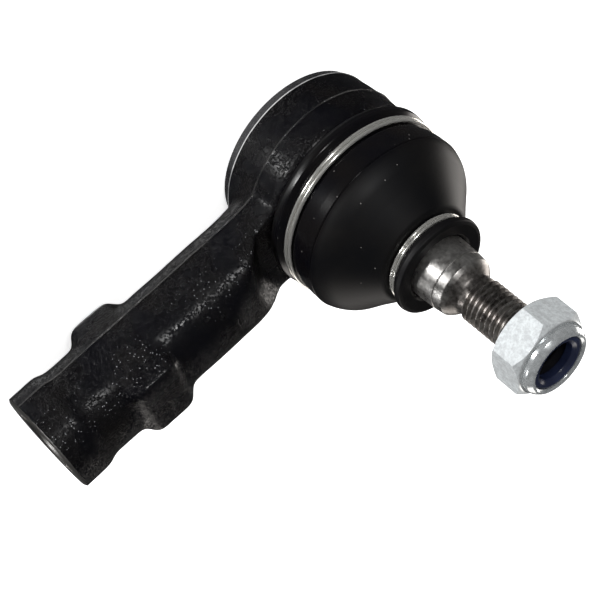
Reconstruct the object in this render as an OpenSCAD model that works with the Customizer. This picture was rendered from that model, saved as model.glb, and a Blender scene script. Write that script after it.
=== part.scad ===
// Outer tie rod end with a female-threaded shank, a tapered ball stud and a nylon-insert lock nut.
// Millimetres. Origin at the centre of the ball, +Z along the stud, +X along the shank.

/* [Ball and stud] */
// Diameter of the ball
ball_d = 22; // [18:0.5:26]
// Diameter of the neck between the ball and the taper
neck_d = 10; // [8:0.5:11]
// Diameter at the large end of the taper, inside the boot's lip
taper_d = 14.2; // [13.6:0.1:15]
// Diameter at the small end of the taper
taper_end_d = 13.2; // [12:0.1:13.6]
// Length of the taper that stands clear of the boot's lip
taper_len = 7.3; // [5:0.1:12]
// Major diameter of the stud's thread
stud_thread_d = 10; // [8:0.5:12]
// Length of the stud's thread
stud_thread_len = 18.8; // [16:0.1:24]
// Largest swing of the stud to each side, in degrees
swing = 25; // [15:1:28]

/* [Housing] */
// Thickness of the bearing shells at the ball's equator
seat_wall = 3; // [2:0.1:4]
// Wall of the head outside the bearing shells
head_wall = 5.8; // [4:0.1:8]
// Height of the head's shoulder above the ball's centre
shoulder_z = 3.2; // [2:0.1:4]
// Distance from the ball's centre to the end face of the shank
shank_len = 79.6; // [66:0.1:110]
// Diameter of the plain part of the shank
shank_d = 21.5; // [20:0.1:22.5]
// Diameter of the thicker end of the shank
barrel_d = 23.2; // [22.6:0.1:26]
// Length of the thicker end of the shank
barrel_len = 8.4; // [5:0.1:14]
// Distance across the wrench flats
flats_af = 23; // [22.6:0.1:26]
// Width of each wrench flat
flat_w = 14.4; // [10:0.1:16]
// Minor diameter of the shank's internal thread
bore_d = 12.4; // [10:0.1:14]
// Depth of the shank's internal thread
bore_depth = 36; // [26:0.1:44]

/* [Rear cover] */
// Thickness of the cover plate
cover_t = 1.2; // [0.8:0.1:2]
// Thickness of the dished preload spring
spring_t = 0.7; // [0.4:0.05:0.9]
// Height of the rim that is rolled over the cover
rolled_rim = 0.9; // [0.6:0.1:1.6]

/* [Boot] */
// Height of the boot above the head's shoulder
boot_h = 28.7; // [27:0.1:32]
// Thickness of the boot's wall
boot_wall = 1.6; // [1.2:0.1:2]
// Wire diameter of the large clamp
large_wire_d = 1; // [0.8:0.05:1.2]
// Wire diameter of the small clamp
small_wire_d = 0.8; // [0.6:0.05:1]

/* [Lock nut] */
// Distance across the nut's flats
nut_af = 17; // [16:0.5:19]
// Height of the nut over its collar
nut_h = 10; // [9.5:0.1:12]
// Height of the hexagon
hex_h = 7.7; // [6.5:0.1:8]
// Diameter of the hole through the nylon ring before the stud enters it
insert_bore_d = 8.7; // [8.2:0.1:9.2]
// Gap between the nut and the thread's run-out
nut_gap = 13; // [6:0.1:13.5]

/* [Hidden] */
$fn = 96;
run_gap = 0.03;      // running clearance of the ball in its shells
slide_gap = 0.05;    // clearance of the lower shell in the housing, and of the nut on the stud
rubber_gap = 0.12;   // gap between the rubber boot and pieces on other bodies
eps = 0.01;

ball_r = ball_d / 2;
neck_r = neck_d / 2;
seat_r = ball_r + seat_wall;
head_r = seat_r + head_wall;
boot_seat_r = head_r - 1.9;
relief_r = head_r + 2.2;

// Stack behind the ball, from the ball outwards
ball_flat_z = -0.84 * ball_r;
cup_floor_z = ball_flat_z - 1;
spring_floor_z = cup_floor_z - 1;
cover_z = spring_floor_z - cover_t;
rear_z = cover_z - rolled_rim;
cover_r = seat_r + 2.2;
rim_mouth_r = cover_r - 1.7;

// Stack in front of the ball
seat_top_z = 0.655 * ball_r;
neck_top_z = seat_top_z + 2.3;
parting_z = -3.5;
function throat_r(z) = z * tan(swing) + neck_r / cos(swing) + 0.4;

// Stations along the stud
lip_z = shoulder_z + boot_h;
taper_z = lip_z - 0.4;
taper_end_z = taper_z + taper_len;
thread_z = taper_end_z + 3.4;
stud_end_z = thread_z + stud_thread_len;
nut_z = thread_z + nut_gap;
insert_floor_z = hex_h - 0.5;
insert_r = 6.2 * nut_af / 17;

// Stations along the shank
shank_r = shank_d / 2;
barrel_r = barrel_d / 2;
flats_x = shank_len - 22.7;
bore_r = bore_d / 2;

// Clamp grooves
large_clamp_z = shoulder_z + 5.2;
large_groove_r = head_r - 0.2;
large_clamp_r = large_groove_r + rubber_gap + large_wire_d / 2;
small_clamp_z = lip_z - 3.7;
small_groove_r = taper_d / 2 + 2.2;
small_clamp_r = small_groove_r + rubber_gap + small_wire_d / 2;
turn_pitch = 0.94;   // spacing of a clamp's two turns, in wire diameters

// Turns a profile of [station, radius] points about the X axis
module turned_along_x(profile)
    rotate([0, 90, 0]) rotate_extrude() polygon([for (p = profile) [p[1], p[0]]]);

// Revolved ring of wire with two touching turns
module two_turn_clamp(ring_r, wire_d, z)
    for (side = [-1, 1])
        translate([0, 0, z + side * turn_pitch * wire_d / 2])
            rotate_extrude()
                translate([ring_r, 0]) circle(d = wire_d, $fn = 32);

// Outside of the forged head, turned about the stud's axis
module head_outside()
    rotate_extrude()
        polygon([[0, rear_z], [head_r - 1.1, rear_z], [head_r - 0.5, rear_z + 1.8], [head_r - 0.2, rear_z + 2.4],
                 [head_r + 0.1, parting_z - 2], [head_r + 0.5, parting_z], [head_r + 0.2, parting_z + 1.6],
                 [head_r, shoulder_z - 0.5], [head_r - 0.5, shoulder_z], [boot_seat_r, shoulder_z],
                 [boot_seat_r, neck_top_z - 1.2], [boot_seat_r - 1, neck_top_z], [0, neck_top_z]]);

// Cross-section of the shank at the wrench flats: two flats, with sides that run into the round shank
module flats_section() {
    corner = [flat_w / 2, flats_af / 2];
    side_a = atan2(corner[1], corner[0]) - acos(shank_r / norm(corner));
    side = [(shank_r - 0.25) * cos(side_a), (shank_r - 0.25) * sin(side_a)];
    polygon([[side[0], -side[1]], side, corner, [-corner[0], corner[1]], [-side[0], side[1]],
             [-side[0], -side[1]], [-corner[0], -corner[1]], [corner[0], -corner[1]]]);
}

// Wrench pads: the flats' section cut to a trapezoid along the shank
module wrench_pads()
    intersection() {
        translate([flats_x - 7, 0, 0]) rotate([90, 0, 90]) linear_extrude(height = 13) flats_section();
        translate([flats_x, barrel_d, 0]) rotate([90, 0, 0])
            linear_extrude(height = 2 * barrel_d)
                polygon([[-7, -flats_af / 2 + 3], [-4, -flats_af / 2], [4, -flats_af / 2], [6, -flats_af / 2 + 3],
                         [6, flats_af / 2 - 3], [4, flats_af / 2], [-4, flats_af / 2], [-7, flats_af / 2 - 3]]);
    }

module shank_outside() {
    barrel_x = shank_len - barrel_len;
    turned_along_x([[0, 0], [0, shank_r], [barrel_x, shank_r], [barrel_x + 1.2, barrel_r],
                    [shank_len - 0.5, barrel_r], [shank_len, barrel_r - 0.5], [shank_len, 0]]);
    wrench_pads();
}

// Room round the boot and its clamp, cut out of the top of the shank with a sloping wall
module boot_relief()
    rotate_extrude()
        polygon([[0, shoulder_z], [relief_r, shoulder_z], [relief_r + 1.5, shoulder_z + 4.5],
                 [relief_r + 8, shank_r + 1], [0, shank_r + 1]]);

// Bore for the bearing shells, its tapered end, the throat, the cover's seat and the mouth inside the rolled rim
module head_bore()
    rotate_extrude()
        polygon([[0, rear_z - 1], [rim_mouth_r, rear_z - 1], [rim_mouth_r, cover_z], [cover_r, cover_z],
                 [cover_r, spring_floor_z], [seat_r, spring_floor_z], [seat_r, shoulder_z],
                 [seat_r - 3.6, seat_top_z], [throat_r(seat_top_z), seat_top_z],
                 [throat_r(neck_top_z + 1), neck_top_z + 1], [0, neck_top_z + 1]]);

// Internal thread of the shank, with its drill point and mouth chamfer
module shank_bore()
    turned_along_x([[shank_len - bore_depth - 3, 0], [shank_len - bore_depth, bore_r], [shank_len - 1.2, bore_r],
                    [shank_len, bore_r + 1.2], [shank_len + 1, bore_r + 1.2], [shank_len + 1, 0]]);

module housing()
    color("#1a1b1d")
        difference() {
            union() {
                head_outside();
                difference() {
                    shank_outside();
                    boot_relief();
                }
            }
            head_bore();
            shank_bore();
        }

module cover_plate()
    color("#3a3b3d")
        rotate_extrude()
            polygon([[0, cover_z - 0.3], [rim_mouth_r - 3, cover_z - 0.3], [rim_mouth_r - 2, cover_z],
                     [cover_r, cover_z], [cover_r, cover_z + cover_t],
                     [rim_mouth_r - 2, cover_z + cover_t], [rim_mouth_r - 3, cover_z + cover_t - 0.3],
                     [0, cover_z + cover_t - 0.3]]);

module preload_spring()
    color("#6b6c70")
        rotate_extrude()
            polygon([[ball_r * 0.6, cup_floor_z - slide_gap - spring_t], [seat_r - 1, spring_floor_z],
                     [seat_r - 1, spring_floor_z + spring_t], [ball_r * 0.6, cup_floor_z - slide_gap]]);

module lower_bearing()
    color("#e9e6da")
        difference() {
            translate([0, 0, cup_floor_z]) cylinder(r = seat_r - slide_gap, h = -cup_floor_z - 0.1);
            sphere(r = ball_r + run_gap);
        }

module upper_bearing()
    color("#e9e6da")
        difference() {
            rotate_extrude()
                polygon([[0, 0], [seat_r, 0], [seat_r, shoulder_z], [seat_r - 3.6, seat_top_z], [0, seat_top_z]]);
            sphere(r = ball_r + run_gap);
            cylinder(r = throat_r(seat_top_z) - 0.05, h = seat_top_z + 1);
        }

// Ball with its flat, neck, collar, taper with a tool mark, run-out and thread
module ball_stud()
    color("#9a9a9c") {
        difference() {
            sphere(r = ball_r);
            translate([0, 0, -2 * ball_r + ball_flat_z]) cylinder(r = ball_r, h = 2 * ball_r, center = false);
        }
        rotate_extrude()
            polygon([[0, 0], [neck_r, 0], [neck_r, ball_r + 3.5], [taper_d / 2 + 0.05, ball_r + 8],
                     [taper_d / 2, taper_z], [taper_end_d / 2 + 0.2, taper_z + 5], [taper_end_d / 2 - 0.1, taper_z + 5.2],
                     [taper_end_d / 2 + 0.15, taper_z + 5.4], [taper_end_d / 2, taper_end_z],
                     [taper_end_d / 2 - 0.6, taper_end_z + 0.9], [stud_thread_d / 2 + 0.3, taper_end_z + 2],
                     [stud_thread_d / 2 - 0.7, thread_z - 0.6], [stud_thread_d / 2 - 0.7, thread_z - 0.2],
                     [stud_thread_d / 2, thread_z], [stud_thread_d / 2, stud_end_z - 0.8],
                     [stud_thread_d / 2 - 0.8, stud_end_z], [0, stud_end_z]]);
    }

// Rubber boot: bead on the housing, groove for the large clamp, dome, groove for the small clamp and lip
module dust_boot() {
    base_z = shoulder_z + rubber_gap;
    bead_r = head_r + 1.3;
    dome_r = head_r + 0.5;
    waist_r = small_groove_r;
    lip_in_r = taper_d / 2 + rubber_gap + 0.05;
    large_lo = large_clamp_z - large_wire_d - 0.05;
    large_hi = large_clamp_z + large_wire_d + 0.05;
    small_lo = small_clamp_z - small_wire_d - 0.05;
    small_hi = small_clamp_z + small_wire_d + 0.05;
    dome_top_z = shoulder_z + 12.4;
    // shrinks the quarter arc of the dome towards the waist
    arc = [for (a = [0:10:80]) [waist_r + (dome_r - waist_r) * cos(a), dome_top_z + (small_lo - dome_top_z) * sin(a)]];
    inner = [for (a = [80:-10:0])
        [lip_in_r + (dome_r - boot_wall - lip_in_r) * cos(a),
         dome_top_z + (small_lo - boot_wall - dome_top_z) * sin(a)]];
    color("#232325")
        rotate_extrude()
            polygon(concat(
                [[boot_seat_r + rubber_gap, base_z], [head_r + 0.2, base_z], [bead_r - 0.3, base_z + 0.8],
                 [bead_r, base_z + 1.9], [bead_r - 0.1, base_z + 2.9], [large_groove_r, large_lo],
                 [large_groove_r, large_hi], [dome_r - 0.1, large_hi + 0.6]],
                arc,
                [[small_groove_r, small_lo], [small_groove_r, small_hi], [small_groove_r + 1, small_hi + 0.5],
                 [small_groove_r + 1.5, lip_z - 1.5], [small_groove_r + 1.5, lip_z - 0.6],
                 [small_groove_r + 1.2, lip_z], [lip_in_r, lip_z], [lip_in_r, small_lo - boot_wall]],
                inner,
                [[dome_r - boot_wall, neck_top_z + 1.6], [boot_seat_r + rubber_gap, neck_top_z + 0.4]]));
}

module boot_clamp_large()
    color("#b9babd") two_turn_clamp(large_clamp_r, large_wire_d, large_clamp_z);

module boot_clamp_small()
    color("#b9b4a4") two_turn_clamp(small_clamp_r, small_wire_d, small_clamp_z);

// Hexagon chamfered at both ends, with a rolled collar that holds the nylon ring
module nut_body() {
    corner_r = nut_af / sqrt(3);
    flat_r = nut_af / 2;
    color("#c9cdd2")
        translate([0, 0, nut_z])
            difference() {
                union() {
                    intersection() {
                        rotate([0, 0, 23]) cylinder(r = corner_r, h = hex_h, $fn = 6);
                        rotate_extrude()
                            polygon([[0, 0], [flat_r - 0.1, 0], [corner_r + 0.1, 0.85], [corner_r + 0.1, hex_h - 0.85],
                                     [flat_r - 0.1, hex_h], [0, hex_h]]);
                    }
                    rotate_extrude()
                        polygon([[0, hex_h - eps], [flat_r - 0.2, hex_h - eps], [flat_r - 0.45, nut_h - 1.1],
                                 [flat_r - 0.9, nut_h - 0.4], [flat_r - 1.6, nut_h], [insert_r - 0.1, nut_h],
                                 [0, nut_h]]);
                }
                translate([0, 0, -1]) cylinder(r = stud_thread_d / 2 + slide_gap, h = nut_h + 2);
                translate([0, 0, -eps])
                    cylinder(r1 = stud_thread_d / 2 + 0.6, r2 = stud_thread_d / 2 + slide_gap, h = 0.6);
                translate([0, 0, insert_floor_z]) cylinder(r = insert_r, h = nut_h);
            }
}

module nut_insert()
    color("#20263f")
        translate([0, 0, nut_z + insert_floor_z])
            rotate_extrude()
                polygon([[insert_bore_d / 2, 0], [insert_r - slide_gap, 0],
                         [insert_r - slide_gap, nut_h - insert_floor_z - 0.7],
                         [insert_r - 0.6, nut_h - insert_floor_z - 0.35],
                         [insert_bore_d / 2 + 0.5, nut_h - insert_floor_z - 0.55],
                         [insert_bore_d / 2, nut_h - insert_floor_z - 1]]);

housing();
cover_plate();
preload_spring();
lower_bearing();
upper_bearing();
ball_stud();
dust_boot();
boot_clamp_large();
boot_clamp_small();
nut_body();
nut_insert();
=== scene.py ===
"""Looks of the tie rod end: a painted forging, a ground and threaded stud, a rubber boot with wire clamps and a
zinc-plated lock nut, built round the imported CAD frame. Metres, +Z along the stud, +X along the shank."""

import math

import bmesh
import bpy
from mathutils import Matrix, Vector, noise


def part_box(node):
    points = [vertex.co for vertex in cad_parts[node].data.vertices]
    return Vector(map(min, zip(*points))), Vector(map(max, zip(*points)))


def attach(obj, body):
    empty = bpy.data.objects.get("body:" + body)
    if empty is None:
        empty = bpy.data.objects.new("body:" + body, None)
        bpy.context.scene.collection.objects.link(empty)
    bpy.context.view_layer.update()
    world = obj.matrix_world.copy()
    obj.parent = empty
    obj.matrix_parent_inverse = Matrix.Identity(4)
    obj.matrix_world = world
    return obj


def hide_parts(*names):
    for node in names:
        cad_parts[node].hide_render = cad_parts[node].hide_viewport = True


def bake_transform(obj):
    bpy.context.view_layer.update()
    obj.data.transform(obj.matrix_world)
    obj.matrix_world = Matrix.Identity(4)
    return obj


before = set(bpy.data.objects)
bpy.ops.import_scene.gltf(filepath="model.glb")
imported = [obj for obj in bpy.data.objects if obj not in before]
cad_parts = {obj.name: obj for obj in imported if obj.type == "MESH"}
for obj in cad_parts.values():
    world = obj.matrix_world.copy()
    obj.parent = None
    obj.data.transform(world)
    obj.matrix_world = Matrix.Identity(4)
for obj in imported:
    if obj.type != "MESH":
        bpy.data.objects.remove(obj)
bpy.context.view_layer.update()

MM = 0.001
TURN = 2 * math.pi

# ---------------------------------------------------------------- sizes taken from the frame, in millimetres


def span_mm(node):
    """Lowest and highest corner of a CAD node, in millimetres."""
    low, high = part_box(node)
    return [v / MM for v in low], [v / MM for v in high]


housing_low, housing_high = span_mm("housing")
stud_low, stud_high = span_mm("ball_stud")
boot_low, boot_high = span_mm("dust_boot")
large_low, large_high = span_mm("boot_clamp_large")
small_low, small_high = span_mm("boot_clamp_small")
nut_low, nut_high = span_mm("nut_body")
insert_low, insert_high = span_mm("nut_insert")
cover_low, cover_high = span_mm("cover_plate")

head_r = -housing_low[0] - 0.5
rear_z = housing_low[2]
shank_end = housing_high[0]
neck_top = housing_high[2] - 2
shank_r = 10.75
barrel_r = shank_r + 0.85
parting_z = -3.5
step_z = rear_z + 2.15
shoulder_z = boot_low[2] - 0.12
boot_seat_r = head_r - 1.9
lip_z = boot_high[2]
taper_r = 7.1
taper_z = lip_z - 0.4
taper_end_z = taper_z + 7.3
thread_z = taper_end_z + 3.4
stud_end_z = stud_high[2]
thread_r = 5.0
thread_pitch = 1.25
nut_z = nut_low[2]
nut_top = nut_high[2]

# ---------------------------------------------------------------- mesh helpers


def rounded(points, segments=5):
    """Outline of (radius, height) points with each corner that has a third value rounded to that radius."""
    out = []
    count = len(points)
    for i, point in enumerate(points):
        here = Vector(point[:2])
        size = point[2] if len(point) > 2 else 0
        if not size or i in (0, count - 1):
            out.append(here)
            continue
        before = (Vector(points[i - 1][:2]) - here).normalized()
        after = (Vector(points[i + 1][:2]) - here).normalized()
        half = before.angle(after) / 2
        reach = size / math.tan(half)
        middle = here + (before + after).normalized() * (size / math.sin(half))
        first = here + before * reach - middle
        turn = first.angle_signed(here + after * reach - middle)
        for step in range(segments + 1):
            angle = -turn * step / segments
            out.append(middle + Matrix.Rotation(angle, 2) @ first)
    return out


def spin_outline(bm, outline, steps=144, along="Z"):
    """Turns an outline of (radius, height) points, in millimetres, right round the Z or the X axis."""
    verts = []
    for radius, height in outline:
        place = (radius, 0, height) if along == "Z" else (height, 0, radius)
        verts.append(bm.verts.new(Vector(place) * MM))
    edges = [bm.edges.new(pair) for pair in zip(verts, verts[1:])]
    axis = (0, 0, 1) if along == "Z" else (1, 0, 0)
    bmesh.ops.spin(bm, geom=verts + edges, cent=(0, 0, 0), axis=axis, angle=TURN, steps=steps, use_merge=True)


def settle(bm):
    """Merges doubles, closes poles and turns every face outwards."""
    bmesh.ops.remove_doubles(bm, verts=bm.verts, dist=1e-7)
    bmesh.ops.recalc_face_normals(bm, faces=bm.faces)


def object_from(bm, name, crease=40):
    """A smooth-shaded object from a bmesh, with edges over the crease angle, in degrees, kept sharp."""
    mesh = bpy.data.meshes.new(name)
    bm.to_mesh(mesh)
    bm.free()
    mesh.shade_smooth()
    mesh.set_sharp_from_angle(angle=math.radians(crease))
    piece = bpy.data.objects.new(name, mesh)
    bpy.context.scene.collection.objects.link(piece)
    return piece


def turned(name, points, steps=144, along="Z", crease=40, segments=5):
    """A closed solid of revolution. The outline runs from the axis back to the axis, or is a closed ring."""
    bm = bmesh.new()
    spin_outline(bm, rounded(points, segments), steps, along)
    settle(bm)
    return object_from(bm, name, crease)


def ring_turned(name, points, steps=144, crease=40, segments=5):
    """A closed ring of revolution, whose outline comes back to its first point."""
    bm = bmesh.new()
    outline = rounded(points + [points[0]], segments)
    spin_outline(bm, outline, steps)
    settle(bm)
    return object_from(bm, name, crease)


def apply_modifiers(piece):
    """Replaces a piece's mesh by the result of its modifiers."""
    evaluated = piece.evaluated_get(bpy.context.evaluated_depsgraph_get())
    mesh = bpy.data.meshes.new_from_object(evaluated)
    piece.modifiers.clear()
    old = piece.data
    piece.data = mesh
    mesh.name = piece.name
    bpy.data.meshes.remove(old)


def combine(piece, other, operation):
    """Adds another solid to a piece, or cuts it away, and deletes the other solid."""
    tool = piece.modifiers.new("combine", "BOOLEAN")
    tool.operation = operation
    tool.solver = "EXACT"
    tool.object = other
    bpy.context.view_layer.update()
    apply_modifiers(piece)
    mesh = other.data
    bpy.data.objects.remove(other)
    bpy.data.meshes.remove(mesh)


def helix(bm, section, pitch, start, turns, steps=96, fade=0.5, base_r=0.0, along="Z"):
    """Adds a closed section of (radius, height) points swept along a right-hand helix, with both ends closed.
    Over the first and last part of a turn, given by fade, the section sinks to base_r."""
    ridge = bmesh.new()
    verts = []
    for radius, height in section:
        place = (radius, 0, start + height) if along == "Z" else (start + height, 0, radius)
        verts.append(ridge.verts.new(Vector(place) * MM))
    edges = [ridge.edges.new(pair) for pair in zip(verts, verts[1:] + verts[:1])]
    bmesh.ops.contextual_create(ridge, geom=edges)
    axis = Vector((0, 0, 1)) if along == "Z" else Vector((1, 0, 0))
    total = round(turns * steps)
    last = bmesh.ops.spin(ridge, geom=verts + edges, cent=(0, 0, 0), axis=axis, dvec=axis * (pitch * MM / steps),
                          angle=TURN * total / steps, steps=total)["geom_last"]
    bmesh.ops.contextual_create(ridge, geom=[e for e in last if isinstance(e, bmesh.types.BMEdge)])
    for index, vert in enumerate(ridge.verts):
        step = index // len(section)
        if fade:
            share = min(1.0, step / (fade * steps), (total - step) / (fade * steps))
            sink_vertex(vert, share, base_r * MM, along)
    bmesh.ops.recalc_face_normals(ridge, faces=ridge.faces)
    carrier = bpy.data.meshes.new("ridge")
    ridge.to_mesh(carrier)
    ridge.free()
    bm.from_mesh(carrier)
    bpy.data.meshes.remove(carrier)


def sink_vertex(vert, share, base_r, along):
    """Moves a vertex towards a cylinder of radius base_r, by 1 - share of its distance."""
    across = Vector((vert.co.x, vert.co.y, 0)) if along == "Z" else Vector((0, vert.co.y, vert.co.z))
    radius = across.length
    if radius > 0:
        vert.co += across * ((base_r + (radius - base_r) * share) / radius - 1)


# ---------------------------------------------------------------- shader helpers


class Shader:
    """A material with one Principled shader, and short calls for adding and joining its nodes."""

    def __init__(self, name, **plain):
        self.material = bpy.data.materials.new(name)
        self.material.use_nodes = True
        self.tree = self.material.node_tree
        self.surface = self.tree.nodes["Principled BSDF"]
        for socket, value in plain.items():
            self.surface.inputs[socket.replace("_", " ").title().replace("Ior", "IOR")].default_value = value

    def add(self, kind, **values):
        node = self.tree.nodes.new(kind)
        for key, value in values.items():
            setattr(node, key, value)
        return node

    def group(self, tree, **values):
        node = self.add("ShaderNodeGroup", node_tree=tree)
        for key, value in values.items():
            node.inputs[key.replace("_", " ").capitalize()].default_value = value
        return node

    def join(self, source, target):
        self.tree.links.new(source, target)

    def object_coordinates(self):
        return self.add("ShaderNodeTexCoord").outputs["Object"]

    def ramp(self, source, stops):
        node = self.add("ShaderNodeValToRGB")
        fill_ramp(node.color_ramp, stops)
        self.join(source, node.inputs["Fac"])
        return node.outputs["Color"]


def fill_ramp(ramp, stops):
    """Sets a colour ramp's stops from (place, grey or colour) pairs."""
    while len(ramp.elements) < len(stops):
        ramp.elements.new(1.0)
    for element, (place, colour) in zip(ramp.elements, stops):
        element.position = place
        element.color = (*colour, 1) if isinstance(colour, tuple) else (colour, colour, colour, 1)


def new_group(name, inputs, outputs):
    """An empty shader node group with the named float or vector inputs and outputs."""
    tree = bpy.data.node_groups.new(name, "ShaderNodeTree")
    for title, kind, value in inputs:
        socket = tree.interface.new_socket(title, in_out="INPUT", socket_type=kind)
        if value is not None:
            socket.default_value = value
    for title, kind in outputs:
        tree.interface.new_socket(title, in_out="OUTPUT", socket_type=kind)
    return tree, tree.nodes.new("NodeGroupInput"), tree.nodes.new("NodeGroupOutput")


def make_grain():
    """Group: two sizes of noise as a height, with a slow mask for patches."""
    tree, entry, out = new_group(
        "grain",
        [("Vector", "NodeSocketVector", None), ("Fine scale", "NodeSocketFloat", 2500.0),
         ("Coarse scale", "NodeSocketFloat", 500.0), ("Coarse share", "NodeSocketFloat", 0.4)],
        [("Height", "NodeSocketFloat"), ("Patches", "NodeSocketFloat")],
    )
    fine = tree.nodes.new("ShaderNodeTexNoise")
    fine.inputs["Detail"].default_value = 3
    fine.inputs["Roughness"].default_value = 0.6
    coarse = tree.nodes.new("ShaderNodeTexNoise")
    coarse.inputs["Detail"].default_value = 2
    patches = tree.nodes.new("ShaderNodeTexNoise")
    patches.inputs["Scale"].default_value = 120
    patches.inputs["Detail"].default_value = 4
    mix = tree.nodes.new("ShaderNodeMix")
    links = tree.links
    for node in (fine, coarse, patches):
        links.new(entry.outputs["Vector"], node.inputs["Vector"])
    links.new(entry.outputs["Fine scale"], fine.inputs["Scale"])
    links.new(entry.outputs["Coarse scale"], coarse.inputs["Scale"])
    links.new(entry.outputs["Coarse share"], mix.inputs["Factor"])
    links.new(fine.outputs["Fac"], mix.inputs["A"])
    links.new(coarse.outputs["Fac"], mix.inputs["B"])
    links.new(mix.outputs["Result"], out.inputs["Height"])
    links.new(patches.outputs["Fac"], out.inputs["Patches"])
    return tree


def make_turning():
    """Group: fine lines round an axis, as a lathe or a grinding wheel leaves, as a height and a mask."""
    tree, entry, out = new_group(
        "turning lines",
        [("Vector", "NodeSocketVector", None), ("Lines", "NodeSocketFloat", 4000.0),
         ("Stretch", "NodeSocketFloat", 0.04)],
        [("Height", "NodeSocketFloat")],
    )
    parts = tree.nodes.new("ShaderNodeSeparateXYZ")
    round_x = tree.nodes.new("ShaderNodeMath")
    round_x.operation = "MULTIPLY"
    round_y = tree.nodes.new("ShaderNodeMath")
    round_y.operation = "MULTIPLY"
    place = tree.nodes.new("ShaderNodeCombineXYZ")
    lines = tree.nodes.new("ShaderNodeTexNoise")
    lines.inputs["Detail"].default_value = 2
    links = tree.links
    links.new(entry.outputs["Vector"], parts.inputs["Vector"])
    links.new(parts.outputs["X"], round_x.inputs[0])
    links.new(entry.outputs["Stretch"], round_x.inputs[1])
    links.new(parts.outputs["Y"], round_y.inputs[0])
    links.new(entry.outputs["Stretch"], round_y.inputs[1])
    links.new(round_x.outputs[0], place.inputs["X"])
    links.new(round_y.outputs[0], place.inputs["Y"])
    links.new(parts.outputs["Z"], place.inputs["Z"])
    links.new(place.outputs["Vector"], lines.inputs["Vector"])
    links.new(entry.outputs["Lines"], lines.inputs["Scale"])
    links.new(lines.outputs["Fac"], out.inputs["Height"])
    return tree


def make_height_band():
    """Group: a mask that is 1 within a band of height and fades at both edges."""
    tree, entry, out = new_group(
        "height band",
        [("Vector", "NodeSocketVector", None), ("Centre", "NodeSocketFloat", 0.0),
         ("Half width", "NodeSocketFloat", 0.001), ("Edge", "NodeSocketFloat", 0.0001)],
        [("Mask", "NodeSocketFloat")],
    )
    parts = tree.nodes.new("ShaderNodeSeparateXYZ")
    off = tree.nodes.new("ShaderNodeMath")
    off.operation = "SUBTRACT"
    size = tree.nodes.new("ShaderNodeMath")
    size.operation = "ABSOLUTE"
    outer = tree.nodes.new("ShaderNodeMath")
    outer.operation = "ADD"
    mask = tree.nodes.new("ShaderNodeMapRange")
    mask.inputs["To Min"].default_value = 1
    mask.inputs["To Max"].default_value = 0
    links = tree.links
    links.new(entry.outputs["Vector"], parts.inputs["Vector"])
    links.new(parts.outputs["Z"], off.inputs[0])
    links.new(entry.outputs["Centre"], off.inputs[1])
    links.new(off.outputs[0], size.inputs[0])
    links.new(size.outputs[0], mask.inputs["Value"])
    links.new(entry.outputs["Half width"], mask.inputs["From Min"])
    links.new(entry.outputs["Half width"], outer.inputs[0])
    links.new(entry.outputs["Edge"], outer.inputs[1])
    links.new(outer.outputs[0], mask.inputs["From Max"])
    links.new(mask.outputs["Result"], out.inputs["Mask"])
    return tree


def make_specks():
    """Group: a mask of scattered round specks."""
    tree, entry, out = new_group(
        "specks",
        [("Vector", "NodeSocketVector", None), ("Scale", "NodeSocketFloat", 900.0), ("Size", "NodeSocketFloat", 0.12)],
        [("Mask", "NodeSocketFloat")],
    )
    cells = tree.nodes.new("ShaderNodeTexVoronoi")
    mask = tree.nodes.new("ShaderNodeMath")
    mask.operation = "LESS_THAN"
    links = tree.links
    links.new(entry.outputs["Vector"], cells.inputs["Vector"])
    links.new(entry.outputs["Scale"], cells.inputs["Scale"])
    links.new(cells.outputs["Distance"], mask.inputs[0])
    links.new(entry.outputs["Size"], mask.inputs[1])
    links.new(mask.outputs[0], out.inputs["Mask"])
    return tree


GRAIN = make_grain()
TURNING = make_turning()
HEIGHT_BAND = make_height_band()
SPECKS = make_specks()


def add_bump(shader, height, strength, distance_mm, normal=None):
    bump = shader.add("ShaderNodeBump")
    bump.inputs["Strength"].default_value = strength
    bump.inputs["Distance"].default_value = distance_mm * MM
    shader.join(height, bump.inputs["Height"])
    if normal:
        shader.join(normal, bump.inputs["Normal"])
    return bump.outputs["Normal"]


# ---------------------------------------------------------------- materials


def painted_glint_specks(shader, place, patches):
    """A mask of specks painted light as glints, mostly on the side that lies up and to the front, facing the front
    softbox.
    """
    specks = shader.group(SPECKS, scale=1500.0, size=0.11)
    shader.join(place, specks.inputs["Vector"])
    facing = shader.add("ShaderNodeVectorMath", operation="DOT_PRODUCT")
    facing.inputs[1].default_value = (-0.1, -0.84, 0.53)
    shader.join(shader.add("ShaderNodeTexCoord").outputs["Normal"], facing.inputs[0])
    side = shader.ramp(facing.outputs["Value"], [(0.86, 0.0), (0.97, 1.0)])
    patchy = shader.ramp(patches, [(0.42, 0.0), (0.5, 1.0)])
    there = shader.add("ShaderNodeMath", operation="MULTIPLY")
    shader.join(side, there.inputs[0])
    shader.join(patchy, there.inputs[1])
    mask = shader.add("ShaderNodeMath", operation="MULTIPLY")
    shader.join(specks.outputs["Mask"], mask.inputs[0])
    shader.join(there.outputs[0], mask.inputs[1])
    return mask.outputs[0]


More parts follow.
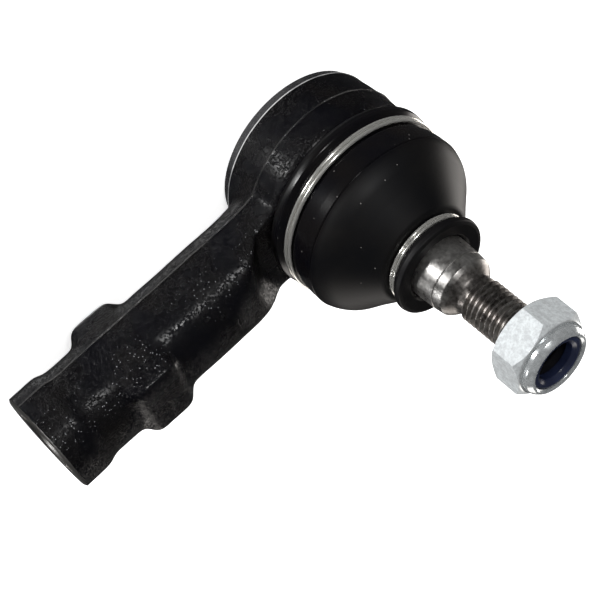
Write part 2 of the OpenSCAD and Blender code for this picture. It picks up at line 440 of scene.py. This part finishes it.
def black_forging_paint():
    """Thin gloss black paint over a rough forging: scattered pimples catch the light as glints, and light specks in the
    colour, on the side facing the front softbox, are painted glints.
    It is thin and grey on the parting line's ridge and on the turned band behind the head, and a light grey strip just
    above the step is a painted highlight of the head's rounded edge."""
    shader = Shader("black forging paint", base_color=(0.002, 0.002, 0.003, 1), roughness=0.28, ior=1.34)
    place = shader.object_coordinates()
    grain = shader.group(GRAIN, fine_scale=2100.0, coarse_scale=900.0, coarse_share=0.25)
    shader.join(place, grain.inputs["Vector"])
    pimples = shader.ramp(grain.outputs["Height"], [(0.48, 0.0), (0.64, 1.0)])
    normal = add_bump(shader, pimples, 1.0, 0.09)
    shader.join(normal, shader.surface.inputs["Normal"])
    tone = shader.ramp(grain.outputs["Patches"], [(0.4, (0.001, 0.001, 0.002)), (0.7, (0.003, 0.0025, 0.0025))])
    # Bands by height: worn grey paint on the parting line's ridge and on the turned band, and a painted highlight above
    # the step.
    for centre, half, colour in (
        (parting_z, 0.12, (0.035, 0.034, 0.033, 1)),
        (step_z - 1.1, 1.0, (0.032, 0.032, 0.034, 1)),
        # Painted highlight: a thin light grey strip standing in for the light caught by the rounded edge above the
        # step.
        (step_z + 0.2, 0.08, (0.4, 0.4, 0.4, 1)),
    ):
        band = shader.group(HEIGHT_BAND, centre=centre * MM, half_width=half * MM, edge=0.08 * MM)
        shader.join(place, band.inputs["Vector"])
        wear_and_highlight = shader.add("ShaderNodeMath", operation="MULTIPLY")
        shader.join(band.outputs["Mask"], wear_and_highlight.inputs[0])
        shader.join(shader.ramp(grain.outputs["Patches"], [(0.36, 0.25), (0.56, 1.0)]), wear_and_highlight.inputs[1])
        mix = shader.add("ShaderNodeMix", data_type="RGBA")
        mix.inputs["B"].default_value = colour
        shader.join(wear_and_highlight.outputs[0], mix.inputs["Factor"])
        shader.join(tone, mix.inputs["A"])
        tone = mix.outputs["Result"]
    # Painted glints: light grey specks in the base colour where the front softbox would glint.
    painted_glints = painted_glint_specks(shader, place, grain.outputs["Patches"])
    bright = shader.add("ShaderNodeMix", data_type="RGBA")
    bright.inputs["B"].default_value = (0.42, 0.43, 0.45, 1)
    shader.join(painted_glints, bright.inputs["Factor"])
    shader.join(tone, bright.inputs["A"])
    shader.join(bright.outputs["Result"], shader.surface.inputs["Base Color"])
    rough = shader.ramp(grain.outputs["Patches"], [(0.35, 0.22), (0.65, 0.32)])
    shader.join(rough, shader.surface.inputs["Roughness"])
    return shader.material


def bare_turned_steel():
    """Machined steel with turning lines."""
    shader = Shader("bare turned steel", base_color=(0.45, 0.44, 0.42, 1), metallic=1.0, roughness=0.32)
    place = shader.object_coordinates()
    grain = shader.group(GRAIN, fine_scale=3000.0, coarse_scale=700.0, coarse_share=0.5)
    shader.join(place, grain.inputs["Vector"])
    tone = shader.ramp(grain.outputs["Patches"], [(0.35, (0.3, 0.29, 0.28)), (0.65, (0.55, 0.54, 0.52))])
    shader.join(tone, shader.surface.inputs["Base Color"])
    normal = add_bump(shader, grain.outputs["Height"], 0.4, 0.02)
    shader.join(normal, shader.surface.inputs["Normal"])
    return shader.material


def boot_rubber():
    """Moulded black rubber: satin, with a faint bloom in patches."""
    shader = Shader("boot rubber", base_color=(0.003, 0.003, 0.004, 1), roughness=0.36, ior=1.36)
    place = shader.object_coordinates()
    grain = shader.group(GRAIN, fine_scale=3500.0, coarse_scale=260.0, coarse_share=0.3)
    shader.join(place, grain.inputs["Vector"])
    normal = add_bump(shader, grain.outputs["Height"], 0.35, 0.03)
    shader.join(normal, shader.surface.inputs["Normal"])
    tone = shader.ramp(grain.outputs["Patches"], [(0.35, (0.0015, 0.0015, 0.0025)), (0.7, (0.0035, 0.003, 0.003))])
    dust = shader.group(SPECKS, scale=420.0, size=0.05)
    shader.join(place, dust.inputs["Vector"])
    dusty = shader.add("ShaderNodeMix", data_type="RGBA")
    dusty.inputs["B"].default_value = (0.12, 0.115, 0.11, 1)
    shader.join(dust.outputs["Mask"], dusty.inputs["Factor"])
    shader.join(tone, dusty.inputs["A"])
    shader.join(dusty.outputs["Result"], shader.surface.inputs["Base Color"])
    smooth = shader.group(HEIGHT_BAND, centre=(shoulder_z + 7.5) * MM, half_width=4.8 * MM, edge=1.5 * MM)
    shader.join(place, smooth.inputs["Vector"])
    rough = shader.add("ShaderNodeMapRange")
    rough.inputs["To Min"].default_value = 0.5
    rough.inputs["To Max"].default_value = 0.2
    shader.join(smooth.outputs["Mask"], rough.inputs["Value"])
    shader.join(rough.outputs["Result"], shader.surface.inputs["Roughness"])
    return shader.material


def clamp_wire():
    """Bright drawn spring wire."""
    shader = Shader("clamp wire", base_color=(0.78, 0.77, 0.73, 1), metallic=0.88, roughness=0.15)
    place = shader.object_coordinates()
    grain = shader.group(GRAIN, fine_scale=900.0, coarse_scale=200.0, coarse_share=0.6)
    shader.join(place, grain.inputs["Vector"])
    rough = shader.ramp(grain.outputs["Height"], [(0.35, 0.12), (0.65, 0.26)])
    shader.join(rough, shader.surface.inputs["Roughness"])
    return shader.material


def stud_steel():
    """Ground steel on the taper, dark and oily on the run-out and the thread; its end, down in the nut, is painted
    near-black as shade.
    """
    shader = Shader("stud steel", base_color=(0.4, 0.39, 0.37, 1), metallic=0.95, roughness=0.3)
    place = shader.object_coordinates()
    grain = shader.group(GRAIN, fine_scale=1400.0, coarse_scale=350.0, coarse_share=0.5)
    shader.join(place, grain.inputs["Vector"])
    lines = shader.group(TURNING, lines=9000.0, stretch=0.05)
    shader.join(place, lines.inputs["Vector"])
    height = shader.add("ShaderNodeSeparateXYZ")
    shader.join(place, height.inputs["Vector"])
    dark = shader.add("ShaderNodeMapRange")
    dark.inputs["From Min"].default_value = (taper_end_z - 0.3) * MM
    dark.inputs["From Max"].default_value = (taper_end_z + 1.2) * MM
    shader.join(height.outputs["Z"], dark.inputs["Value"])
    ground = shader.ramp(grain.outputs["Height"], [(0.3, (0.25, 0.24, 0.23)), (0.7, (0.62, 0.61, 0.59))])
    oiled = shader.ramp(grain.outputs["Height"], [(0.35, (0.09, 0.08, 0.075)), (0.7, (0.36, 0.34, 0.32))])
    tone = shader.add("ShaderNodeMix", data_type="RGBA")
    shader.join(dark.outputs["Result"], tone.inputs["Factor"])
    shader.join(ground, tone.inputs["A"])
    shader.join(oiled, tone.inputs["B"])
    # Painted shade: the stud's end, down in the nut's bore, is coloured near-black.
    end_shade = shader.group(HEIGHT_BAND, centre=stud_end_z * MM, half_width=0.3 * MM, edge=0.2 * MM)
    shader.join(place, end_shade.inputs["Vector"])
    shaded_end = shader.add("ShaderNodeMix", data_type="RGBA")
    shaded_end.inputs["B"].default_value = (0.006, 0.006, 0.008, 1)
    shader.join(end_shade.outputs["Mask"], shaded_end.inputs["Factor"])
    shader.join(tone.outputs["Result"], shaded_end.inputs["A"])
    shader.join(shaded_end.outputs["Result"], shader.surface.inputs["Base Color"])
    rough = shader.ramp(grain.outputs["Height"], [(0.3, 0.24), (0.7, 0.5)])
    shader.join(rough, shader.surface.inputs["Roughness"])
    fine = add_bump(shader, lines.outputs["Height"], 0.35, 0.02)
    normal = add_bump(shader, grain.outputs["Height"], 0.35, 0.03, fine)
    shader.join(normal, shader.surface.inputs["Normal"])
    return shader.material


def within_radius(shader, place, radius_mm):
    """A mask that is 1 inside a radius about the Z axis."""
    flat = shader.add("ShaderNodeVectorMath", operation="MULTIPLY")
    flat.inputs[1].default_value = (1, 1, 0)
    shader.join(place, flat.inputs[0])
    distance = shader.add("ShaderNodeVectorMath", operation="LENGTH")
    shader.join(flat.outputs["Vector"], distance.inputs[0])
    inside = shader.add("ShaderNodeMath", operation="LESS_THAN")
    inside.inputs[1].default_value = radius_mm * MM
    shader.join(distance.outputs["Value"], inside.inputs[0])
    return inside.outputs[0]


def zinc_plate():
    """Zinc over a pressed nut: fine crystals break the reflections on the hexagon, the rolled collar is smooth,
    and the bore is painted near-black as shade."""
    shader = Shader("zinc plate", base_color=(0.6, 0.63, 0.65, 1), metallic=0.75, roughness=0.25)
    place = shader.object_coordinates()
    grain = shader.group(GRAIN, fine_scale=2200.0, coarse_scale=900.0, coarse_share=0.5)
    shader.join(place, grain.inputs["Vector"])
    bump = shader.add("ShaderNodeBump")
    bump.inputs["Distance"].default_value = 0.1 * MM
    shader.join(grain.outputs["Height"], bump.inputs["Height"])
    shader.join(bump.outputs["Normal"], shader.surface.inputs["Normal"])
    zinc = shader.ramp(grain.outputs["Height"], [(0.4, (0.5, 0.52, 0.53)), (0.6, (0.66, 0.69, 0.7))])
    # Painted shade: inside the bore's radius the zinc is coloured near-black.
    tone = shader.add("ShaderNodeMix", data_type="RGBA")
    tone.inputs["B"].default_value = (0.012, 0.012, 0.016, 1)
    shader.join(within_radius(shader, place, thread_r + 0.5), tone.inputs["Factor"])
    shader.join(zinc, tone.inputs["A"])
    shader.join(tone.outputs["Result"], shader.surface.inputs["Base Color"])
    collar = shader.group(HEIGHT_BAND, centre=(nut_top + 0.2) * MM, half_width=2.6 * MM, edge=0.3 * MM)
    shader.join(place, collar.inputs["Vector"])
    for socket, hexagon, rolled in (
        (shader.surface.inputs["Roughness"], 0.66, 0.2),
        (shader.surface.inputs["Metallic"], 0.66, 0.76),
        (bump.inputs["Strength"], 0.8, 0.1),
    ):
        blend = shader.add("ShaderNodeMapRange")
        blend.inputs["To Min"].default_value = hexagon
        blend.inputs["To Max"].default_value = rolled
        shader.join(collar.outputs["Mask"], blend.inputs["Value"])
        shader.join(blend.outputs["Result"], socket)
    return shader.material


def moulded(name, colour, deep, roughness, scale):
    """Moulded plastic with a faint flow pattern and a fine skin."""
    shader = Shader(name, base_color=(*colour, 1), roughness=roughness)
    place = shader.object_coordinates()
    grain = shader.group(GRAIN, fine_scale=scale, coarse_scale=scale / 6, coarse_share=0.4)
    shader.join(place, grain.inputs["Vector"])
    tone = shader.ramp(grain.outputs["Patches"], [(0.35, deep), (0.65, colour)])
    shader.join(tone, shader.surface.inputs["Base Color"])
    normal = add_bump(shader, grain.outputs["Height"], 0.25, 0.02)
    shader.join(normal, shader.surface.inputs["Normal"])
    return shader.material


def pressed_steel(name, light, deep, roughness):
    """Sheet or spring steel with rolling marks."""
    shader = Shader(name, base_color=(*light, 1), metallic=1.0, roughness=roughness)
    place = shader.object_coordinates()
    grain = shader.group(GRAIN, fine_scale=1800.0, coarse_scale=240.0, coarse_share=0.5)
    shader.join(place, grain.inputs["Vector"])
    tone = shader.ramp(grain.outputs["Patches"], [(0.35, deep), (0.65, light)])
    shader.join(tone, shader.surface.inputs["Base Color"])
    normal = add_bump(shader, grain.outputs["Height"], 0.3, 0.03)
    shader.join(normal, shader.surface.inputs["Normal"])
    return shader.material


PAINT = black_forging_paint()
BARE = bare_turned_steel()
RUBBER = boot_rubber()
WIRE = clamp_wire()
STUD = stud_steel()
ZINC = zinc_plate()
NYLON = moulded("insert nylon", (0.010, 0.014, 0.035), (0.004, 0.006, 0.018), 0.28, 1500.0)
ACETAL = moulded("bearing acetal", (0.78, 0.76, 0.68), (0.66, 0.64, 0.57), 0.4, 1200.0)
SHEET = pressed_steel("stamped cover steel", (0.2, 0.2, 0.2), (0.09, 0.09, 0.09), 0.42)
SPRING = pressed_steel("spring steel", (0.4, 0.4, 0.42), (0.22, 0.22, 0.23), 0.3)


def finish_piece(piece, body, materials, nodes=()):
    """Gives a piece its materials and body, and hides the CAD nodes that it stands for."""
    for material in materials:
        piece.data.materials.append(material)
    if body:
        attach(piece, body)
    if nodes:
        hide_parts(*nodes)


# ---------------------------------------------------------------- housing


def head_solid():
    """The head as forged. It reaches below the rim, so that turning leaves a crisp edge there."""
    return turned("head", [
        (0, rear_z - 3), (head_r - 0.1, rear_z - 3), (head_r - 0.1, rear_z + 2.5, 2), (head_r + 0.2, parting_z - 1.5, 3),
        (head_r + 0.25, parting_z + 1.5, 3), (head_r, shoulder_z + 0.1, 0.9), (boot_seat_r, shoulder_z, 0.5),
        (boot_seat_r, neck_top + 0.3, 0.8), (0, neck_top + 0.3)], steps=160)


def shank_solid():
    """The shank, flared where it runs into the head, with the barrel at its end."""
    barrel_x = shank_end - 8.4
    return turned("shank", [
        (0, 0), (12.8, 0), (12.4, 15.5, 3), (shank_r + 0.35, 19.5, 6), (shank_r, 24, 4), (shank_r, barrel_x, 3),
        (barrel_r, barrel_x + 1.4, 2), (barrel_r, shank_end + 1.5), (0, shank_end + 1.5)], steps=128, along="X")


def wrench_pad_solid():
    """The flats: a block with sides that run into the shank, and ends sloped down to it."""
    half_width, half_height, side = 7.5, 11.8, Vector((9.9, 4.2))
    section = [(side.x, -side.y), (side.x, side.y), (half_width, half_height), (-half_width, half_height),
               (-side.x, side.y), (-side.x, -side.y), (-half_width, -half_height), (half_width, -half_height)]
    middle = shank_end - 22.7
    bm = bmesh.new()
    rings = []
    for x, share in ((-7.3, 0.78), (-4.6, 1.0), (4.4, 1.0), (6.4, 0.8)):
        rings.append([bm.verts.new(Vector((middle + x, y * share, z * share)) * MM) for y, z in section])
    loops = [[bm.edges.new(pair) for pair in zip(ring, ring[1:] + ring[:1])] for ring in rings]
    for one, other in zip(loops, loops[1:]):
        bmesh.ops.bridge_loops(bm, edges=one + other)
    bmesh.ops.contextual_create(bm, geom=loops[0])
    bmesh.ops.contextual_create(bm, geom=loops[-1])
    settle(bm)
    bmesh.ops.bevel(bm, geom=[e for e in bm.edges if e.calc_face_angle(0) > 0.2], offset=0.7 * MM, segments=3,
                    profile=0.5, affect="EDGES", material=-1)
    return object_from(bm, "wrench pads")


def boot_relief_solid():
    """The room round the boot, which is cut out of the shank's top."""
    near = head_r + 2
    return turned("relief", [
        (0, shoulder_z), (near + 2.2, shoulder_z, 2), (near + 6.5, shoulder_z + 4.3, 4), (near + 11, shoulder_z + 6.1, 4),
        (near + 17, shank_r + 1), (near + 17, shank_r + 5), (0, shank_r + 5)])


def smooth_forging(piece):
    """Remeshes the joined solids and relaxes them, which rounds every inner and outer corner as a die does."""
    skin = piece.modifiers.new("skin", "REMESH")
    skin.mode = "VOXEL"
    skin.voxel_size = 0.45 * MM
    relax = piece.modifiers.new("relax", "SMOOTH")
    relax.factor = 0.5
    relax.iterations = 26
    bpy.context.view_layer.update()
    apply_modifiers(piece)


def add_flash_and_waves(piece):
    """Raises the thin uneven ridge where the two dies met, and the slight waves of a forged skin."""
    bm = bmesh.new()
    bm.from_mesh(piece.data)
    heights = (-0.42, -0.16, 0, 0.16, 0.42)
    for offset in heights:
        bmesh.ops.bisect_plane(bm, geom=bm.verts[:] + bm.edges[:] + bm.faces[:], dist=1e-8,
                               plane_co=(0, 0, (parting_z + offset) * MM), plane_no=(0, 0, 1))
    bm.normal_update()
    moves = []
    for vert in bm.verts:
        place = vert.co / MM
        wave = noise.noise(place * 0.16) * 0.10 + noise.noise(place * 0.5) * 0.03
        off = abs(place.z - parting_z)
        ridge = 0.0
        if off < 0.3:
            uneven = 0.7 + 0.6 * noise.noise(place * 0.35) + 0.4 * noise.noise(place * 1.3)
            ridge = 0.3 * max(0.1, uneven) * (1.0 if off < 0.05 else 0.45)
        moves.append(vert.normal * ((wave + ridge) * MM))
    for vert, move in zip(bm.verts, moves):
        vert.co += move
    bm.to_mesh(piece.data)
    bm.free()


def machining_solid():
    """All that a lathe takes off the forging: the rear rim with its step, the head's bore, the shank's end and bore."""
    rim_mouth = cover_high[0] - 1.7
    end = shank_end
    bm = bmesh.new()
    spin_outline(bm, rounded([
        (0, rear_z - 5), (head_r + 3, rear_z - 5), (head_r + 3, step_z + 0.1), (head_r - 0.5, step_z),
        (head_r - 0.85, rear_z + 0.2), (head_r - 1.1, rear_z), (rim_mouth + 0.6, rear_z), (rim_mouth, rear_z + 0.45),
        (rim_mouth, cover_low[2] + 0.3), (cover_high[0], cover_low[2] + 0.3), (cover_high[0], cover_high[2]),
        (14.0, cover_high[2]), (14.0, shoulder_z), (10.4, 7.2), (9.3, 7.2), (11.0, 10.5), (0, 10.5)]), 192)
    spin_outline(bm, rounded([
        (0, end - 39), (7.05, end - 36), (7.05, end - 0.9), (7.7, end - 0.25), (7.7, end), (barrel_r - 0.5, end),
        (barrel_r + 1.2, end - 1.0), (barrel_r + 4, end - 1.0), (barrel_r + 4, end + 4), (0, end + 4)]), 160, "X")
    settle(bm)
    return object_from(bm, "machining")


def add_shank_thread(piece):
    """Lays the shank's M14 thread in its bore as a helical ridge."""
    bm = bmesh.new()
    bm.from_mesh(piece.data)
    helix(bm, [(7.15, 0.66), (6.25, 0.14), (6.25, -0.14), (7.15, -0.66)], 1.5, shank_end - 34, 21.6, steps=48,
          fade=0.6, base_r=7.2, along="X")
    bm.to_mesh(piece.data)
    bm.free()


def paint_housing(piece):
    """Bare steel on the shank's end face and in its bore, paint elsewhere."""
    for face in piece.data.polygons:
        place = face.center / MM
        across = math.hypot(place.y, place.z)
        end = place.x > shank_end - 1.05 and (face.normal.x > 0.5 or across < 8)
        bore = place.x > shank_end - 40 and across < 7.3
        face.material_index = 1 if end or bore else 0


def build_housing():
    housing = shank_solid()
    combine(housing, wrench_pad_solid(), "UNION")
    combine(housing, boot_relief_solid(), "DIFFERENCE")
    combine(housing, head_solid(), "UNION")
    smooth_forging(housing)
    add_flash_and_waves(housing)
    combine(housing, machining_solid(), "DIFFERENCE")
    add_shank_thread(housing)
    housing.name = "forged_housing"
    housing.data.shade_smooth()
    housing.data.set_sharp_from_angle(angle=math.radians(38))
    finish_piece(housing, "head", [PAINT, BARE], ["housing"])
    paint_housing(housing)


# ---------------------------------------------------------------- rear cover


def build_cover():
    radius = cover_high[0] - 0.05
    low = cover_low[2]
    cover = turned("stamped_cover", [
        (0, low - 0.15), (6, low - 0.15, 1), (7, low + 0.15, 1), (radius - 4.2, low + 0.15, 1),
        (radius - 3.2, low + 0.42, 0.6), (radius, low + 0.42), (radius, cover_high[2] - 0.05, 0.2),
        (radius - 3.2, cover_high[2] - 0.05, 0.6), (radius - 4.2, cover_high[2] - 0.35, 1), (0, cover_high[2] - 0.35)])
    finish_piece(cover, "head", [SHEET], ["cover_plate"])


# ---------------------------------------------------------------- ball stud


def build_stud():
    root_r = thread_r - 0.76
    ball_r = 11.0
    flat_z = stud_low[2]
    start = math.degrees(math.asin(flat_z / ball_r))
    stop = math.degrees(math.acos(5.0 / ball_r))
    arc = [(ball_r * math.cos(math.radians(a)), ball_r * math.sin(math.radians(a)))
           for a in [start + (stop - start) * i / 40 for i in range(41)]]
    outline = [(0, flat_z)] + arc + [
        (5.0, ball_r + 3.2, 2), (taper_r + 0.05, ball_r + 8, 2), (taper_r, taper_z), (taper_r - 0.16, taper_z + 5.0),
        (taper_r - 0.4, taper_z + 5.15, 0.1), (taper_r - 0.22, taper_z + 5.35), (taper_r - 0.45, taper_end_z, 0.6),
        (taper_r - 1.15, taper_end_z + 0.9, 0.9), (root_r + 0.35, thread_z - 1.1, 1.5), (root_r, thread_z + 0.3),
        (root_r, stud_end_z - 0.5, 0.2), (root_r - 0.5, stud_end_z), (0, stud_end_z)]
    bm = bmesh.new()
    spin_outline(bm, rounded(outline), steps=144)
    turns = (stud_end_z - 0.6 - thread_z) / thread_pitch
    half = thread_pitch / 2
    helix(bm, [(root_r - 0.1, half * 1.02), (root_r + 0.1, half * 0.8), (thread_r - 0.02, half * 0.14),
               (thread_r - 0.02, -half * 0.14), (root_r + 0.1, -half * 0.8), (root_r - 0.1, -half * 1.02)],
          thread_pitch, thread_z - 0.2, turns, steps=96, fade=0.8, base_r=root_r - 0.1)
    settle(bm)
    stud = object_from(bm, "ball_stud_turned", crease=30)
    finish_piece(stud, "stud", [STUD], ["ball_stud"])


# ---------------------------------------------------------------- dust boot and its clamps


def boot_outline():
    """Outside from the bead on the head to the lip on the taper, then the inside back down."""
    bead_r = head_r + 1.25
    dome_r = head_r + 0.55
    waist_r = taper_r + 2.2
    large_mid = (large_low[2] + large_high[2]) / 2
    small_mid = (small_low[2] + small_high[2]) / 2
    mould_z = shoulder_z + 12.4
    low_waist = small_mid - 1.0
    groove_r = head_r - 0.2
    in_r = taper_r + 0.17
    wall = 1.6
    return [
        (boot_seat_r + 0.12, boot_low[2]), (head_r + 0.2, boot_low[2], 0.3), (bead_r, boot_low[2] + 1.3, 0.8),
        (bead_r - 0.05, boot_low[2] + 2.7, 0.6), (groove_r, large_mid - 1.1, 0.3), (groove_r, large_mid + 1.1, 0.3),
        (dome_r - 0.25, large_mid + 1.9, 0.6), (dome_r - 0.02, mould_z - 2.2, 2), (dome_r + 0.06, mould_z - 0.16),
        (dome_r - 0.12, mould_z), (dome_r + 0.04, mould_z + 0.18), (dome_r - 0.9, mould_z + 2.9, 9),
        (dome_r - 4.9, mould_z + 6.9, 11), (dome_r - 9.2, low_waist - 0.2, 2), (waist_r, low_waist, 0.3),
        (waist_r, small_mid + 0.95, 0.3), (waist_r + 1.3, small_mid + 1.4, 0.5), (waist_r + 1.9, lip_z - 1.3, 0.8),
        (waist_r + 1.7, lip_z - 0.25, 0.35), (waist_r + 0.9, lip_z - 0.02, 0.3), (in_r + 0.7, lip_z - 0.15, 0.3),
        (in_r, lip_z - 0.7), (in_r, low_waist - wall, 0.6), (dome_r - 10.2, low_waist - wall - 0.3, 2),
        (dome_r - 6.8, mould_z + 6.0, 3), (dome_r - 3.0, mould_z + 2.4, 2), (dome_r - wall, mould_z, 1),
        (dome_r - wall, neck_top + 1.6, 0.5), (boot_seat_r + 0.12, neck_top + 0.4)]


def build_boot():
    boot = ring_turned("rubber_boot", boot_outline(), steps=168, crease=50, segments=10)
    bm = bmesh.new()
    bm.from_mesh(boot.data)
    bm.normal_update()
    for vert in bm.verts:
        place = vert.co / MM
        if shoulder_z + 8 < place.z < lip_z - 5:
            vert.co += vert.normal * (noise.noise(place * 0.13) * 0.12 * MM)
    bm.to_mesh(boot.data)
    bm.free()
    finish_piece(boot, None, [RUBBER], ["dust_boot"])
    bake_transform(boot)


def wire_clamp(name, low, high, wire_r, body, node):
    """Two touching turns of round wire, with the cut ends left side by side."""
    ring_r = high[0] - wire_r - 0.04
    section = [(ring_r + wire_r * math.cos(TURN * i / 20), wire_r * math.sin(TURN * i / 20)) for i in range(20)]
    bm = bmesh.new()
    pitch = (high[2] - low[2]) / 2 + 0.02
    helix(bm, section, pitch, (low[2] + high[2]) / 2 - pitch, 1.985, steps=144, fade=0)
    bmesh.ops.rotate(bm, verts=bm.verts, cent=(0, 0, 0), matrix=Matrix.Rotation(math.radians(62), 3, "Z"))
    settle(bm)
    clamp = object_from(bm, name, crease=60)
    finish_piece(clamp, body, [WIRE], [node])


# ---------------------------------------------------------------- lock nut


def hexagon_solid(across, low, high):
    bm = bmesh.new()
    corner_r = across / math.sqrt(3)
    made = bmesh.ops.create_cone(bm, cap_ends=True, segments=6, radius1=corner_r * MM, radius2=corner_r * MM,
                                 depth=(high - low) * MM)
    bmesh.ops.rotate(bm, verts=made["verts"], cent=(0, 0, 0), matrix=Matrix.Rotation(math.radians(-6.7), 3, "Z"))
    bmesh.ops.translate(bm, verts=made["verts"], vec=(0, 0, (low + high) / 2 * MM))
    upright = [e for e in bm.edges if abs(e.verts[0].co.z - e.verts[1].co.z) > MM]
    bmesh.ops.bevel(bm, geom=upright, offset=0.12 * MM, segments=3, profile=0.5, affect="EDGES", material=-1)
    return object_from(bm, "hexagon")


def build_nut():
    across = 17.0
    flat_r = across / 2
    corner_r = across / math.sqrt(3)
    hex_top = nut_z + 7.7
    nut = hexagon_solid(across, nut_z, hex_top)
    chamfer = turned("chamfer", [
        (0, nut_z), (flat_r - 0.15, nut_z, 0.2), (corner_r + 0.1, nut_z + 0.95), (corner_r + 0.1, hex_top - 1.5),
        (flat_r - 0.3, hex_top, 0.2), (0, hex_top)], steps=180)
    combine(nut, chamfer, "INTERSECT")
    insert_r = insert_high[0] + 0.02
    collar = turned("collar", [
        (0, hex_top - 1.0), (flat_r - 0.7, hex_top - 1.0), (flat_r - 0.65, nut_top - 1.2, 0.9), (flat_r - 1.5, nut_top, 0.7), (0, nut_top)], steps=180)
    combine(nut, collar, "UNION")
    hole = turned("hole", [
        (0, nut_z - 1), (thread_r + 0.75, nut_z - 1), (thread_r + 0.75, nut_z), (thread_r + 0.06, nut_z + 0.6),
        (thread_r + 0.06, insert_low[2]), (insert_r, insert_low[2]), (insert_r, nut_top - 0.4, 0.3),
        (insert_r + 0.6, nut_top + 0.1), (insert_r + 0.6, nut_top + 1), (0, nut_top + 1)], steps=144)
    combine(nut, hole, "DIFFERENCE")
    nut.name = "zinc_lock_nut"
    nut.data.shade_smooth()
    nut.data.set_sharp_from_angle(angle=math.radians(25))
    finish_piece(nut, "nut", [ZINC], ["nut_body"])


def build_insert():
    outer = insert_high[0] - 0.01
    low, high = insert_low[2], insert_high[2]
    inner = 4.35
    ring = ring_turned("nylon_ring", [
        (inner, low), (outer, low), (outer, high - 0.2, 0.3), (outer - 0.7, high, 0.3), (inner + 0.7, high - 0.2, 0.5),
        (inner, high - 0.9, 0.4)], steps=144)
    finish_piece(ring, "nut_carrier", [NYLON], ["nut_insert"])


# ---------------------------------------------------------------- stage


def build_floor():
    bm = bmesh.new()
    bmesh.ops.create_grid(bm, x_segments=1, y_segments=1, size=3.0)
    bmesh.ops.translate(bm, verts=bm.verts, vec=(0, 0, (rear_z - 0.05) * MM))
    floor = object_from(bm, "floor")
    shader = Shader("pale floor", base_color=(0.9, 0.9, 0.9, 1), roughness=0.9, emission_color=(1, 1, 1, 1),
                    emission_strength=0.65)
    floor.data.materials.append(shader.material)
    floor.visible_glossy = False
    floor.visible_shadow = False


def soft_light(name, direction, distance, size, power, target=(0.022, 0.007, 0.011), tint=(1, 1, 1)):
    """An area light that shines at the part from a direction, at a distance in metres."""
    data = bpy.data.lights.new(name, "AREA")
    data.shape = "RECTANGLE"
    data.size, data.size_y = size
    data.energy = power
    data.color = tint
    lamp = bpy.data.objects.new(name, data)
    bpy.context.scene.collection.objects.link(lamp)
    way = Vector(direction).normalized()
    lamp.location = Vector(target) + way * distance
    lamp.rotation_euler = way.to_track_quat("Z", "Y").to_euler()
    lamp.visible_camera = False
    return lamp


def build_world():
    """A bright surround that lights the floor, and that reflections see only faintly, as in a dark studio."""
    world = bpy.data.worlds.new("studio")
    world.use_nodes = True
    bpy.context.scene.world = world
    tree = world.node_tree
    surround = tree.nodes["Background"]
    surround.inputs["Color"].default_value = (1, 1, 1, 1)
    surround.inputs["Strength"].default_value = 1.2
    dim = tree.nodes.new("ShaderNodeBackground")
    dim.inputs["Color"].default_value = (1, 1, 1, 1)
    dim.inputs["Strength"].default_value = 0.045
    rays = tree.nodes.new("ShaderNodeLightPath")
    mix = tree.nodes.new("ShaderNodeMixShader")
    tree.links.new(rays.outputs["Is Glossy Ray"], mix.inputs["Fac"])
    tree.links.new(surround.outputs["Background"], mix.inputs[1])
    tree.links.new(dim.outputs["Background"], mix.inputs[2])
    tree.links.new(mix.outputs["Shader"], tree.nodes["World Output"].inputs["Surface"])


def build_camera():
    target = Vector((0.0222, 0.0067, 0.0109))
    place = Vector((0.1012, -0.3492, 0.2358))
    data = bpy.data.cameras.new("camera")
    data.lens = 126
    data.sensor_width = 36
    data.clip_start = 0.01
    camera = bpy.data.objects.new("camera", data)
    bpy.context.scene.collection.objects.link(camera)
    look = (target - place).to_track_quat("-Z", "Y").to_matrix()
    camera.matrix_world = Matrix.Translation(place) @ (look @ Matrix.Rotation(math.radians(131.0), 3, "Z")).to_4x4()
    bpy.context.scene.camera = camera
    return camera


def camera_way(camera, right, up, back):
    """A direction given by its shares to the camera's right, up and back."""
    return camera.matrix_world.to_3x3() @ Vector((right, up, back))


def build_stage():
    camera = build_camera()
    build_world()
    build_floor()
    soft_light("front softbox", camera_way(camera, 0.23, 0.16, 0.95), 0.8, (0.06, 0.08), 1.4)
    soft_light("left softbox", camera_way(camera, -0.83, 0.2, 0.49), 0.8, (0.1, 0.18), 3.3)
    soft_light("low left rim", camera_way(camera, -0.82, -0.57, 0.0), 0.8, (0.15, 0.15), 0.9)
    soft_light("low rim", camera_way(camera, 0.1, -0.8, -0.6), 0.8, (0.35, 0.35), 0.9, tint=(1, 0.95, 0.9))
    soft_light("right rim", camera_way(camera, 0.75, 0.2, -0.65), 0.8, (0.35, 0.35), 1.7, tint=(1, 0.95, 0.9))
    soft_light("upper rim", camera_way(camera, -0.5, 0.65, -0.6), 0.8, (0.35, 0.35), 0.5)
    bpy.context.scene.view_settings.view_transform = "Standard"


build_stage()
build_housing()
build_cover()
build_stud()
build_boot()
wire_clamp("large_clamp_wire", large_low, large_high, 0.43, "head", "boot_clamp_large")
wire_clamp("small_clamp_wire", small_low, small_high, 0.35, "swinging_collar", "boot_clamp_small")
build_nut()
build_insert()
for node, material in (("lower_bearing", ACETAL), ("upper_bearing", ACETAL), ("preload_spring", SPRING)):
    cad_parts[node].data.materials.clear()
    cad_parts[node].data.materials.append(material)
